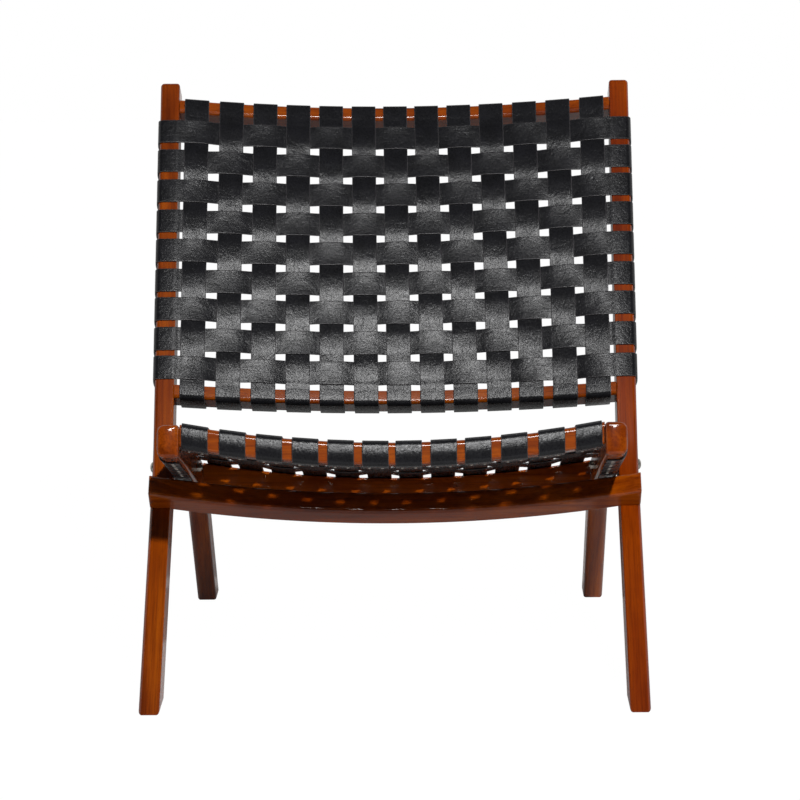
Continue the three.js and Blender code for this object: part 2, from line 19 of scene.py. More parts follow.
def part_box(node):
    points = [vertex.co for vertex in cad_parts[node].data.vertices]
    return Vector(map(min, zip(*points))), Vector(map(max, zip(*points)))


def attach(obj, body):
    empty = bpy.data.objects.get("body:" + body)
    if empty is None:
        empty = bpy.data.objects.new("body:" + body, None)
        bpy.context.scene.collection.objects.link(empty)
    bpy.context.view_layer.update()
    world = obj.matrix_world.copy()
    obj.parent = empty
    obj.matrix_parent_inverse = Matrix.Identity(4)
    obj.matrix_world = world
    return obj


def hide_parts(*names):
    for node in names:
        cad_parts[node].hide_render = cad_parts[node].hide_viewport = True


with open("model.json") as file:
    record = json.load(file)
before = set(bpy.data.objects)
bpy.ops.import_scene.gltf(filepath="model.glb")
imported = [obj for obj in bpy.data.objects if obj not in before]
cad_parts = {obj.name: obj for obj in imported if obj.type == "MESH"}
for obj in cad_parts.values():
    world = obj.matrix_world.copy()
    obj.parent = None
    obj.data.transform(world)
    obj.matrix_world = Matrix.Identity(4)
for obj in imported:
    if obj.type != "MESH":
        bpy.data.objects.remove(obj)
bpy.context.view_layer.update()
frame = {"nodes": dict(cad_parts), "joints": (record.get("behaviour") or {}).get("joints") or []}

# %% [markdown]
# ## The chair's own sizes
#
# The planks are drawn from the side, so most sizes are lengths and angles of the side view. A
# point of that view is (y, z). The pivot and the toes of the front legs come from the frame.

# %% Sizes of the back frame, in metres
MM = 0.001
PIVOT = Vector(frame["joints"][0]["pos_m"]).yz
TOE = Vector((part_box("back_side_left")[0].y, 0.0))
POST_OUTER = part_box("back_side_right")[1].x
POST_INNER = POST_OUTER - 26 * MM
LEG_SLANT, BACK_LEAN = math.radians(46.4), math.radians(27.9)
POST_TOP_HEIGHT = 741 * MM
PLANK_DEPTH, FOOT_DEPTH, TOP_DEPTH = 50 * MM, 48 * MM, 40 * MM
BEND_RADIUS = 150 * MM
FIT = 0.3 * MM
SIDES = (("left", -1), ("right", 1))


def direction(angle):
    """Up a plank that leans back by this angle, and square to it, out of its front face."""
    return Vector((math.sin(angle), math.cos(angle))), Vector((-math.cos(angle), math.sin(angle)))


LEG_UP, LEG_OUT = direction(LEG_SLANT)
POST_UP, POST_OUT = direction(BACK_LEAN)
post_front = PIVOT + POST_OUT * PLANK_DEPTH / 2
POST_LENGTH = (POST_TOP_HEIGHT - post_front.y) / POST_UP.y
POST_TOP = post_front + POST_UP * POST_LENGTH
print("post top at", [round(v, 4) for v in POST_TOP])

# %% Sizes of the seat frame, in metres
SEAT_OUTER = POST_INNER - 3.5 * MM
SEAT_INNER = SEAT_OUTER - 27 * MM
SEAT_SLOPE, REAR_LEG_SLOPE = math.radians(15.8), math.radians(49.6)
ARCH_RADIUS, ARCH_LENGTH, KNEE_RADIUS = 6.0, 431 * MM, 178 * MM
KNEE_TURN = REAR_LEG_SLOPE - SEAT_SLOPE - ARCH_LENGTH / ARCH_RADIUS
KNEE_END = ARCH_LENGTH + KNEE_RADIUS * KNEE_TURN
PIVOT_STATION = 303.2 * MM


def arc_end(start, slope, length, radius):
    turned = slope + length / radius
    across = math.sin(turned) - math.sin(slope)
    down = math.cos(turned) - math.cos(slope)
    return start + Vector((radius * across, radius * down))


def centre_line(start, distance):
    """The middle of the seat plank at a distance along it: an arch, a knee and a leg."""
    arch = min(distance, ARCH_LENGTH)
    knee = min(max(distance - ARCH_LENGTH, 0), KNEE_END - ARCH_LENGTH)
    leg = max(distance - KNEE_END, 0)
    knee_slope = SEAT_SLOPE + arch / ARCH_RADIUS
    slope = knee_slope + knee / KNEE_RADIUS
    point = arc_end(start, SEAT_SLOPE, arch, ARCH_RADIUS)
    point = arc_end(point, knee_slope, knee, KNEE_RADIUS)
    return point + Vector((math.cos(slope), -math.sin(slope))) * leg, slope


SEAT_START = PIVOT - centre_line(Vector((0, 0)), PIVOT_STATION)[0]
FLOOR_STATION = KNEE_END + centre_line(SEAT_START, KNEE_END)[0].y / math.sin(REAR_LEG_SLOPE)
SEAT_DEPTHS = ([0, ARCH_LENGTH, KNEE_END, FLOOR_STATION], [41 * MM, 43 * MM, 46 * MM, 42 * MM])


def seat_plank_depth(distance):
    return float(np.interp(distance, *SEAT_DEPTHS))


def seat_station(distance):
    """Top and underside of the seat plank, and the direction square to it."""
    middle, slope = centre_line(SEAT_START, distance)
    up = Vector((math.sin(slope), math.cos(slope)))
    half = up * seat_plank_depth(distance) / 2
    return middle + half, middle - half, up


print("seat plank is", round(FLOOR_STATION, 3), "m along its middle")

# %% [markdown]
# ## Camera
#
# The photograph was taken from far away with a long lens, from a little above the chair's top,
# looking down by ten degrees. A long lens keeps the uprights nearly parallel. The chair stands
# turned by less than a degree, so the camera stands a little to the right of its middle line.

# %% Camera
CAMERA_AT = Vector((0.0582, -4.1568, 1.0731))
CAMERA_PITCH, CAMERA_YAW, CAMERA_ROLL = 10.058, 0.714, 0.542
PIXELS, FOCAL_PIXELS, SENSOR, CAMERA_REACH = 800, 3200, 36.0, 60


def aim(at, pitch, yaw, roll):
    """A camera's place: it looks along +Y, down by pitch, turned left by yaw, then rolled."""
    turn = Matrix.Rotation(math.radians(yaw), 4, "Z")
    tip = Matrix.Rotation(math.radians(90 - pitch), 4, "X")
    spin = Matrix.Rotation(math.radians(-roll), 4, "Z")
    return Matrix.Translation(at) @ turn @ tip @ spin


bpy.ops.object.camera_add()
camera = bpy.context.object
camera.name = "camera"
camera.matrix_world = aim(CAMERA_AT, CAMERA_PITCH, CAMERA_YAW, CAMERA_ROLL)
camera.data.sensor_width = SENSOR
camera.data.lens = SENSOR * FOCAL_PIXELS / PIXELS
camera.data.clip_end = CAMERA_REACH
bpy.context.scene.camera = camera
print("lens", camera.data.lens, "mm")

# %% [markdown]
# ## Materials
#
# Three finishes cover the chair: lacquered wood, leather and steel. All are built from noise
# and other patterns, with no picture. A material is a small tree of nodes, so the helper below
# adds one node at a time and joins it to the ones before.

# %% Helpers for materials
def put(tree, kind, inputs=None, **options):
    """Adds a shader node, sets its options, and gives each input a value or a link."""
    made = tree.nodes.new("ShaderNode" + kind)
    for key, value in options.items():
        setattr(made, key, value)
    for key, value in (inputs or {}).items():
        if isinstance(value, bpy.types.NodeSocket):
            tree.links.new(value, made.inputs[key])
        else:
            made.inputs[key].default_value = value
    return made


def tone(red, green, blue):
    """A colour as a picture shows it, 0 to 255, turned into the shader's linear values."""
    def linear(value):
        share = value / 255
        return share / 12.92 if share <= 0.04045 else ((share + 0.055) / 1.055) ** 2.4
    return (linear(red), linear(green), linear(blue), 1.0)


def ramp(tree, factor, stops):
    """A colour ramp with (place, colour) stops, where a colour may be a plain grey level."""
    made = put(tree, "ValToRGB", {"Fac": factor})
    elements = made.color_ramp.elements
    while len(elements) < len(stops):
        elements.new(0.5)
    for element, (place, colour) in zip(elements, stops):
        element.position = place
        element.color = colour if isinstance(colour, tuple) else (colour, colour, colour, 1)
    return made.outputs["Color"]


def noise(tree, vector, scale, detail=3.0, roughness=0.5, distortion=0.0):
    made = put(tree, "TexNoise", {"Vector": vector, "Scale": scale, "Detail": detail,
                                  "Roughness": roughness, "Distortion": distortion})
    return made.outputs["Fac"]


def stretched(tree, vector, scale, location=(0, 0, 0)):
    made = put(tree, "Mapping", {"Vector": vector, "Scale": scale, "Location": location})
    return made.outputs["Vector"]


def mixed(tree, factor, first, second, how="MIX"):
    """Mixes two colours by a factor."""
    made = put(tree, "Mix", data_type="RGBA", blend_type=how)
    for socket, value in zip((made.inputs[0], made.inputs[6], made.inputs[7]),
                             (factor, first, second)):
        if isinstance(value, bpy.types.NodeSocket):
            tree.links.new(value, socket)
        else:
            socket.default_value = value
    return made.outputs[2]


def bumped(tree, height, distance, strength=1.0, normal=None):
    inputs = {"Height": height, "Distance": distance, "Strength": strength}
    if normal is not None:
        inputs["Normal"] = normal
    return put(tree, "Bump", inputs).outputs["Normal"]


def new_material(name):
    made = bpy.data.materials.new(name)
    made.use_nodes = True
    tree = made.node_tree
    return made, tree, tree.nodes["Principled BSDF"]


# %% [markdown]
# The wood is a reddish brown hardwood under a glossy lacquer. Its grain runs along every
# plank, also round the bends, so each wooden piece carries an attribute with the distance
# along it and across it. The pattern stretches noise along that attribute: broad bands for the
# growth rings, fine streaks for the fibres, and short dark dashes for the pores.

# %% Wood
def lacquered_wood():
    made, tree, shader = new_material("lacquered_wood")
    grain = put(tree, "Attribute", attribute_name="grain").outputs["Vector"]
    rings = noise(tree, stretched(tree, grain, (1.8, 38, 38)), 1.0, 5, 0.55, 0.7)
    fibres = noise(tree, stretched(tree, grain, (11, 420, 420)), 1.0, 4, 0.6)
    patches = noise(tree, stretched(tree, grain, (9, 16, 16)), 1.0, 3)
    pores = noise(tree, stretched(tree, grain, (80, 1500, 1500)), 1.0, 2, 0.5)
    colour = ramp(tree, rings, [(0.30, tone(106, 40, 0)), (0.46, tone(142, 61, 2)),
                                (0.60, tone(160, 76, 4)), (0.74, tone(124, 50, 0))])
    streak = ramp(tree, fibres, [(0.32, tone(176, 160, 150)), (0.55, tone(255, 255, 255))])
    colour = mixed(tree, 0.6, colour, streak, "MULTIPLY")
    patch = ramp(tree, patches, [(0.36, tone(205, 180, 165)), (0.62, tone(255, 255, 255))])
    colour = mixed(tree, 0.7, colour, patch, "MULTIPLY")
    dash = ramp(tree, pores, [(0.30, tone(135, 100, 85)), (0.38, tone(255, 255, 255))])
    colour = mixed(tree, 0.5, colour, dash, "MULTIPLY")
    shade = put(tree, "Attribute", attribute_name="shade").outputs["Fac"]
    colour = mixed(tree, shade, colour, tone(228, 200, 120), "MULTIPLY")
    tree.links.new(colour, shader.inputs["Base Color"])
    rough = put(tree, "MapRange", {"Value": fibres, "To Min": 0.38, "To Max": 0.52})
    tree.links.new(rough.outputs["Result"], shader.inputs["Roughness"])
    normal = bumped(tree, fibres, 0.00004)
    normal = bumped(tree, patches, 0.0005, 0.5, normal)
    tree.links.new(normal, shader.inputs["Normal"])
    shader.inputs["Specular IOR Level"].default_value = 0.05
    shader.inputs["Coat Weight"].default_value = 0.6
    shader.inputs["Coat Roughness"].default_value = 0.11
    shader.inputs["Coat IOR"].default_value = 1.5
    return made


WOOD = lacquered_wood()

# %% [markdown]
# The straps are black leather with a satin face. Each strap is cut flat before it is laid, so
# its pattern lives in its UV map, in metres: the first value runs across the strap and the
# second along it. Pebbled grain comes from cells, and fine noise mottles the gloss and lightens
# the colour in patches. A few wrinkles run along the strap. The two cut edges are painted a little
# paler, partly as burnished edges and partly as a painted highlight on their eased rounding. The
# face was polished along the strap, so its gloss is stretched a little, by a tangent from the UV map.

# %% Leather
STRAP_WIDTH, STRAP_THICKNESS = 32.4 * MM, 2.0 * MM


def strap_leather():
    made, tree, shader = new_material("strap_leather")
    flat = put(tree, "TexCoord").outputs["UV"]
    pebbles = put(tree, "TexVoronoi", {"Vector": flat, "Scale": 900.0})
    mottle = noise(tree, stretched(tree, flat, (300, 260, 1)), 1.0, 4, 0.65, 0.6)
    folds = noise(tree, stretched(tree, flat, (44, 38, 1)), 1.0, 3, 0.5, 0.5)
    wrinkles = noise(tree, stretched(tree, flat, (420, 34, 1)), 1.0, 3, 0.6, 1.0)
    colour = ramp(tree, folds, [(0.3, tone(20, 20, 22)), (0.7, tone(27, 27, 30))])
    # Lighter patches are added to the colour where the mottle noise is high.
    lighter_mottle = ramp(tree, mottle, [(0.55, tone(0, 0, 0)), (0.80, tone(15, 15, 17))])
    colour = mixed(tree, 0.7, colour, lighter_mottle, "ADD")
    # The cut edges are painted paler here: partly a burnished edge, partly a painted highlight where
    # the eased edge would catch the light.
    across = put(tree, "SeparateXYZ", {"Vector": flat}).outputs["X"]
    middle = put(tree, "Math", {0: across, 1: STRAP_WIDTH / 2}, operation="SUBTRACT")
    off_middle = put(tree, "Math", {0: middle.outputs[0]}, operation="ABSOLUTE").outputs[0]
    edge = put(tree, "MapRange", {"Value": off_middle, "From Min": STRAP_WIDTH / 2 - 1.0 * MM,
                                  "From Max": STRAP_WIDTH / 2 - 0.3 * MM}).outputs["Result"]
    colour = mixed(tree, edge, colour, tone(62, 60, 62))
    tree.links.new(colour, shader.inputs["Base Color"])
    rough = put(tree, "MapRange", {"Value": mottle, "From Min": 0.3, "From Max": 0.7,
                                   "To Min": 0.24, "To Max": 0.33})
    tree.links.new(rough.outputs["Result"], shader.inputs["Roughness"])
    creased = ramp(tree, wrinkles, [(0.30, 0.0), (0.40, 1.0)])
    normal = bumped(tree, pebbles.outputs["Distance"], 0.00003)
    normal = bumped(tree, mottle, 0.00030, 1.0, normal)
    normal = bumped(tree, creased, 0.00012, 0.5, normal)
    normal = bumped(tree, folds, 0.0010, 0.6, normal)
    tree.links.new(normal, shader.inputs["Normal"])
    shader.inputs["Specular IOR Level"].default_value = 0.24
    shader.inputs["Anisotropic"].default_value = 0.4
    tangent = put(tree, "Tangent", direction_type="UV_MAP").outputs["Tangent"]
    tree.links.new(tangent, shader.inputs["Tangent"])
    return made


LEATHER = strap_leather()

# %% [markdown]
# The bolts, nuts and spacers at the pivots and the tacks under the straps are plated steel.
# Turned steel has fine rings and a few scratches, so its roughness varies a little.

# %% Steel
def plated_steel():
    made, tree, shader = new_material("plated_steel")
    place = put(tree, "TexCoord").outputs["Object"]
    scratches = noise(tree, stretched(tree, place, (400, 3500, 3500)), 1.0, 3, 0.6)
    stains = noise(tree, place, 160.0, 3)
    colour = ramp(tree, stains, [(0.35, tone(142, 136, 128)), (0.7, tone(176, 171, 163))])
    tree.links.new(colour, shader.inputs["Base Color"])
    rough = put(tree, "MapRange", {"Value": scratches, "To Min": 0.22, "To Max": 0.42})
    tree.links.new(rough.outputs["Result"], shader.inputs["Roughness"])
    tree.links.new(bumped(tree, scratches, 0.00003), shader.inputs["Normal"])
    shader.inputs["Metallic"].default_value = 1.0
    return made


STEEL = plated_steel()
print("materials:", [m.name for m in bpy.data.materials])

# %% [markdown]
# ## Wooden pieces
#
# Each wooden piece is sawn from a board, so it is made in the same way: its outline is traced,
# filled and extruded through the board, and then its edges are rounded over. The outline is a
# circle primitive whose points are moved onto the line. Edges get a bevel weight, because the
# outside of a plank is rounded more than its inside, and one Bevel modifier rounds them all.

# %% Helpers for wooden pieces
LARGEST_ROUND = 10 * MM
ROUND_SEGMENTS = 6
SMOOTH_ANGLE = math.radians(38)


def alone(piece):
    """Selects one object and nothing else."""
    bpy.ops.object.select_all(action="DESELECT")
    piece.select_set(True)
    bpy.context.view_layer.objects.active = piece


def close_up():
    """Turns all faces outwards and leaves edit mode."""
    bpy.ops.mesh.select_all(action="SELECT")
    bpy.ops.mesh.normals_make_consistent(inside=False)
    bpy.ops.object.mode_set(mode="OBJECT")


def traced(name, outline, through):
    """A board of that outline, as thick as the vector through."""
    bpy.ops.object.select_all(action="DESELECT")
    bpy.ops.mesh.primitive_circle_add(vertices=len(outline), fill_type="NGON")
    piece = bpy.context.object
    piece.name = piece.data.name = name
    for vertex, point in zip(piece.data.vertices, outline):
        vertex.co = point
    bpy.ops.object.mode_set(mode="EDIT")
    bpy.ops.mesh.select_all(action="SELECT")
    bpy.ops.mesh.extrude_region_move(TRANSFORM_OT_translate={"value": through})
    close_up()
    return piece


def rounded_over(piece, radius_of, shape_further=None):
    """Rounds every edge by what radius_of says for its two ends, in metres."""
    mesh = piece.data
    weights = mesh.attributes.new("bevel_weight_edge", "FLOAT", "EDGE")
    for edge in mesh.edges:
        ends = [mesh.vertices[i].co for i in edge.vertices]
        weights.data[edge.index].value = radius_of(*ends) / LARGEST_ROUND
    alone(piece)
    bevel = piece.modifiers.new("rounding", "BEVEL")
    bevel.limit_method = "WEIGHT"
    bevel.width = LARGEST_ROUND
    bevel.segments = ROUND_SEGMENTS
    bevel.use_clamp_overlap = False
    bpy.ops.object.modifier_apply(modifier=bevel.name)
    if shape_further:
        shape_further(piece)
    bpy.ops.object.shade_smooth_by_angle(angle=SMOOTH_ANGLE)
    even = piece.modifiers.new("even shading", "WEIGHTED_NORMAL")
    even.keep_sharp = True
    bpy.ops.object.modifier_apply(modifier=even.name)


def stand_on_floor(piece):
    """Lifts the few points that the rounding of a foot pushed below the floor."""
    for vertex in piece.data.vertices:
        vertex.co.z = max(vertex.co.z, 0.0)


def coordinates(piece):
    found = np.empty(len(piece.data.vertices) * 3)
    piece.data.vertices.foreach_get("co", found)
    return found.reshape(-1, 3)


def lay_grain(piece, line, shift, darker=0.0):
    """Stores how far each point lies along, off and through a line of the side view."""
    points = coordinates(piece)
    line = np.array([tuple(p) for p in line])
    nearest = np.full(len(points), np.inf)
    along, off = np.zeros(len(points)), np.zeros(len(points))
    travelled = 0.0
    for start, end in zip(line, line[1:]):
        length = np.linalg.norm(end - start)
        step = (end - start) / length
        reach = (points[:, 1:] - start) @ step
        held = np.clip(reach, 0, length)
        distance = np.linalg.norm(points[:, 1:] - start - np.outer(held, step), axis=1)
        side = (points[:, 1:] - start) @ np.array([-step[1], step[0]])
        closer = distance < nearest
        nearest = np.where(closer, distance, nearest)
        along = np.where(closer, travelled + reach, along)
        off = np.where(closer, side, off)
        travelled += length
    store_grain(piece, np.stack([along + shift, off + shift, points[:, 0]], axis=1), darker)


def store_grain(piece, values, darker=0.0):
    """Stores the grain's coordinates and how much darker this piece of wood is, 0 to 1."""
    grain = piece.data.attributes.new("grain", "FLOAT_VECTOR", "POINT")
    grain.data.foreach_set("vector", values.astype(np.float32).ravel())
    shade = piece.data.attributes.new("shade", "FLOAT", "POINT")
    shade.data.foreach_set("value", np.full(len(values), darker, np.float32))


def finished(piece, material, body, slot, *nodes):
    """Gives a piece its material and its body, and hides the CAD nodes that it stands for. The slot is
    not used.
    """
    piece.data.materials.clear()
    piece.data.materials.append(material)
    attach(piece, body)
    if nodes:
        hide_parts(*nodes)


def near(first, second, margin=0.05 * MM):
    return abs(first - second) < margin


# %% [markdown]
# ### The side planks of the back
#
# Front leg and back post are one plank with a bend at the pivot. The outline goes up the front
# face, round the bend, over the top and down the rear face. The foot is cut level. Each plank
# starts at another place of the grain, and the right one is of slightly darker wood.

# %% Back side planks
def meet(a, u, b, v):
    """Where the line through a along u meets the line through b along v."""
    return a + u * ((b - a).cross(v) / u.cross(v))


def rounded_corner(corner, before, after, radius):
    turn = math.asin(before.cross(after))
    start = corner - before * (radius * math.tan(abs(turn) / 2))
    side = Vector((-before.y, before.x)) * (radius if turn > 0 else -radius)
    centre = start + side
    turns = [turn * step / BEND_STEPS for step in range(BEND_STEPS + 1)]
    return [centre + Matrix.Rotation(angle, 2) @ (start - centre) for angle in turns]


BEND_STEPS = 14
FLOOR, LEVEL = Vector((0, 0)), Vector((1, 0))
rear_bend = meet(PIVOT - LEG_OUT * PLANK_DEPTH / 2, LEG_UP, PIVOT - POST_OUT * PLANK_DEPTH / 2, POST_UP)
foot_rear = TOE - LEG_OUT * FOOT_DEPTH
leg_rear_up = (rear_bend - foot_rear).normalized()
top_rear = POST_TOP - POST_OUT * TOP_DEPTH
post_rear_up = (top_rear - rear_bend).normalized()
front_line = [TOE, *rounded_corner(meet(TOE, LEG_UP, post_front, POST_UP), LEG_UP, POST_UP,
                                   BEND_RADIUS), POST_TOP]
rear_line = [meet(foot_rear, leg_rear_up, FLOOR, LEVEL),
             *rounded_corner(rear_bend, leg_rear_up, post_rear_up, BEND_RADIUS + PLANK_DEPTH),
             top_rear]
back_outline = front_line + rear_line[::-1]
FOOT_EASING, TOE_EASING = 3.5 * MM, 1.5 * MM
POST_END_ROUND, POST_OUTER_ROUND, POST_INNER_ROUND = 5 * MM, 5 * MM, 2.5 * MM


def back_side(name, sign):
    inner, outer = sign * POST_INNER, sign * POST_OUTER
    outline = [(inner, *point) for point in back_outline]
    piece = traced(f"{name}_plank", outline, (outer - inner, 0, 0))
    top = (POST_TOP, top_rear)

    def at_top(point):
        return min((point.yz - corner).length for corner in top) < FIT

    def radius_of(a, b):
        if max(a.z, b.z) < FIT:
            return TOE_EASING if near(a.y, b.y) else FOOT_EASING
        if at_top(a) and at_top(b):
            return POST_END_ROUND
        if not near(a.x, b.x):
            return 0.0
        return POST_OUTER_ROUND if near(a.x, outer) else POST_INNER_ROUND

    rounded_over(piece, radius_of)
    stand_on_floor(piece)
    lay_grain(piece, front_line, shift=0.4 + sign * 0.3, darker=0.5 + sign * 0.5)
    finished(piece, WOOD, "back_frame", "lacquered_wood", name)
    return piece


for word, sign in SIDES:
    print(back_side(f"back_side_{word}", sign).name, "traced and rounded")

# %% [markdown]
# ### The side planks of the seat
#
# A seat plank is nearly straight under the seat, bends at the knee and becomes the rear leg.
# Its front end is the rounded block that shows from the front. The outer edges are rounded
# most there, by ten millimetres, and the whole front end by five. A sander leaves such an end a
# little domed, which catches the light, so its flat face is inset and pushed out four times.

# %% Seat side planks
ARCH_STEPS, KNEE_STEPS = 12, 16
stations = [ARCH_LENGTH * i / ARCH_STEPS for i in range(ARCH_STEPS + 1)]
stations += [ARCH_LENGTH + (KNEE_END - ARCH_LENGTH) * i / KNEE_STEPS for i in range(1, KNEE_STEPS + 1)]
seat_top = [seat_station(s)[0] for s in stations]
seat_under = [seat_station(s)[1] for s in stations]
foot_top, foot_under, _ = seat_station(FLOOR_STATION)
seat_top.append(meet(seat_top[-1], foot_top - seat_top[-1], FLOOR, LEVEL))
seat_under.append(meet(seat_under[-1], foot_under - seat_under[-1], FLOOR, LEVEL))
seat_outline = seat_top + seat_under[::-1]
SEAT_END_ROUND, SEAT_OUTER_ROUND, SEAT_INNER_ROUND = 5 * MM, 10 * MM, 4 * MM
FRONT_FACING = Vector((0, -math.cos(SEAT_SLOPE), math.sin(SEAT_SLOPE)))
DOME_INSETS = ((1 * MM, 0.6 * MM), (1.5 * MM, 0.6 * MM), (2 * MM, 0.5 * MM), (2 * MM, 0.25 * MM))


def dome_the_front(piece):
    """Swells the flat front end of a seat plank into a low dome, inset by inset."""
    ends = [face for face in piece.data.polygons if face.normal.dot(FRONT_FACING) > 0.999]
    largest = max(ends, key=lambda face: face.area).index
    alone(piece)
    bpy.ops.object.mode_set(mode="EDIT")
    bpy.ops.mesh.select_mode(type="FACE")
    bpy.ops.mesh.select_all(action="DESELECT")
    bpy.ops.object.mode_set(mode="OBJECT")
    piece.data.polygons[largest].select = True
    bpy.ops.object.mode_set(mode="EDIT")
    for thickness, depth in DOME_INSETS:
        bpy.ops.mesh.inset(thickness=thickness, depth=depth)
    bpy.ops.object.mode_set(mode="OBJECT")


def seat_side(name, sign):
    inner, outer = sign * SEAT_INNER, sign * SEAT_OUTER
    outline = [(inner, *point) for point in seat_outline]
    piece = traced(f"{name}_plank", outline, (outer - inner, 0, 0))
    front = (seat_top[0], seat_under[0])

    def at_front(point):
        return min((point.yz - corner).length for corner in front) < FIT

    def radius_of(a, b):
        if max(a.z, b.z) < FIT:
            return TOE_EASING if near(a.y, b.y) else FOOT_EASING
        if at_front(a) and at_front(b):
            return SEAT_END_ROUND
        if not near(a.x, b.x):
            return 0.0
        return SEAT_OUTER_ROUND if near(a.x, outer) else SEAT_INNER_ROUND

    rounded_over(piece, radius_of, dome_the_front)
    stand_on_floor(piece)
    lay_grain(piece, seat_top, shift=2.1 + sign * 0.4)
    finished(piece, WOOD, "seat_frame", "lacquered_wood", name)
    return piece


for word, sign in SIDES:
    print(seat_side(f"seat_side_{word}", sign).name, "traced and rounded")

# %% [markdown]
# ## Rails
#
# Four bowed rails join the side planks, two at the back and two at the seat. The straps pull
# on them, so they are sawn as bows: the middle of a rail lies behind, or below, its ends. The
# outline of a rail is its view along its height, a curved strip between the planks. The edge
# that the straps are pulled over is rounded most, and so is the one that shows below it.
#
# A panel is a table of its own sizes. A place on it is given by how far across it lies, how far
# down or back from the panel's end, and how far above the planks' faces.

# %% The two panels
def back_place(x, down, level):
    side = POST_TOP - POST_UP * down + POST_OUT * level
    return Vector((x, side.x, side.y))


def seat_place(x, distance, level):
    top, _, up = seat_station(distance)
    side = top + up * level
    return Vector((x, side.x, side.y))


def post_depth(down):
    return TOP_DEPTH + (PLANK_DEPTH - TOP_DEPTH) * down / POST_LENGTH


REACH = 1.5 * MM
BACK = {
    "name": "back", "body": "back_frame", "place": back_place, "depth": post_depth,
    "inner": POST_INNER, "outer": POST_OUTER, "inner_round": 3.5 * MM, "outer_round": POST_OUTER_ROUND,
    "rails": [
        {"name": "back_top_rail", "outer": 25.5 * MM, "inner": 43.5 * MM, "level": 0,
         "bow": 34 * MM, "outer_round": 2 * MM, "inner_round": 5 * MM},
        {"name": "back_bottom_rail", "outer": 450 * MM, "inner": 432 * MM, "level": 0,
         "bow": 34 * MM, "outer_round": 5 * MM, "inner_round": 2 * MM},
    ],
    "rail_depth": 38 * MM, "under_round": 3 * MM, "middle_bow": 28 * MM,
    "first": 55.5 * MM, "cross": 9, "cross_pitch": 42.2 * MM, "long": 13, "long_pitch": 44.6 * MM,
}
SEAT = {
    "name": "seat", "body": "seat_frame", "place": seat_place, "depth": seat_plank_depth,
    "inner": SEAT_INNER, "outer": SEAT_OUTER, "inner_round": SEAT_INNER_ROUND,
    "outer_round": SEAT_OUTER_ROUND,
    "rails": [
        {"name": "seat_front_rail", "outer": 12 * MM, "inner": 42 * MM, "level": 1.5 * MM,
         "bow": 24 * MM, "outer_round": 6 * MM, "inner_round": 2 * MM},
        {"name": "seat_rear_rail", "outer": 430 * MM, "inner": 406 * MM, "level": -1 * MM,
         "bow": 22.5 * MM, "outer_round": 6 * MM, "inner_round": 2 * MM},
    ],
    "rail_depth": 28 * MM, "under_round": 4 * MM, "middle_bow": 23.5 * MM,
    "first": 56 * MM, "cross": 8, "cross_pitch": 42 * MM, "long": 12, "long_pitch": 44 * MM,
}
BOW_STEPS = 40
REAR_EDGE_ROUND = 2 * MM


def spread(half, steps):
    return [half * (2 * i / steps - 1) for i in range(steps + 1)]


def bow_share(x, half_span):
    """How much of its bow a rail has at x: all in the middle, nothing at its ends."""
    return max(1 - (x / half_span) ** 2, 0)


def face_level(panel, rail, x):
    return rail["level"] - rail["bow"] * bow_share(x, panel["inner"])


def make_rail(panel, rail):
    across = spread(panel["inner"] - FIT, BOW_STEPS)
    middle = (rail["inner"] + rail["outer"]) / 2
    origin = panel["place"](0, middle, 0)
    out = (panel["place"](0, middle, 1) - origin).normalized()
    inward = Vector((1, 0, 0)).cross(out)
    if inward.dot(panel["place"](0, rail["inner"], 0) - origin) < 0:
        inward = -inward
    height = abs(rail["outer"] - rail["inner"])
    outer_line = origin - inward * height / 2

    def point(x, level):
        return outer_line + Vector((x, 0, 0)) + out * level

    face = [point(x, face_level(panel, rail, x)) for x in across]
    under = [point(x, face_level(panel, rail, x) - panel["rail_depth"]) for x in across]
    piece = traced(f"{rail['name']}_bow", face + under[::-1], inward * height)

    def corner(vertex):
        on_outer = (vertex - outer_line).dot(inward) < height / 2
        level = (vertex - outer_line).dot(out)
        on_face = level > face_level(panel, rail, vertex.x) - panel["rail_depth"] / 2
        return on_outer, on_face

    def radius_of(a, b):
        if near(a.x, b.x) or corner(a) != corner(b):
            return 0.0
        on_outer, on_face = corner(a)
        if on_face:
            return rail["outer_round"] if on_outer else rail["inner_round"]
        return panel["under_round"] if on_outer else REAR_EDGE_ROUND

    rounded_over(piece, radius_of)
    store_grain(piece, coordinates(piece) + middle * 3)
    finished(piece, WOOD, panel["body"], "lacquered_wood", rail["name"])
    return piece


for panel in (BACK, SEAT):
    for rail in panel["rails"]:
        print(make_rail(panel, rail).name, "is bowed by", rail["bow"] * 1000, "mm")

# %% [markdown]
# ## Front stretcher
#
# The stretcher lies on the front of the legs and reaches to their outer faces. It is bowed
# backwards between them, so a person's calves have room. Its rear is notched over the legs.

# %% Front stretcher
def leg_place(x, up, off):
    side = TOE + LEG_UP * up + LEG_OUT * off
    return Vector((x, side.x, side.y))


stretcher_points = [v.co for v in frame["nodes"]["front_stretcher"].data.vertices]
STRETCHER_TOP = max((Vector(p.yz) - TOE).dot(LEG_UP) for p in stretcher_points)
STRETCHER_HEIGHT, STRETCHER_FRONT = 32 * MM, 33 * MM
STRETCHER_BOW, STRETCHER_DEPTH = 44 * MM, 28 * MM
STRETCHER_ROUND, STRETCHER_REAR_ROUND, STRETCHER_END_ROUND = 6 * MM, 1.5 * MM, 2 * MM


def stretcher_front(x):
    return STRETCHER_FRONT - STRETCHER_BOW * bow_share(x, POST_OUTER)


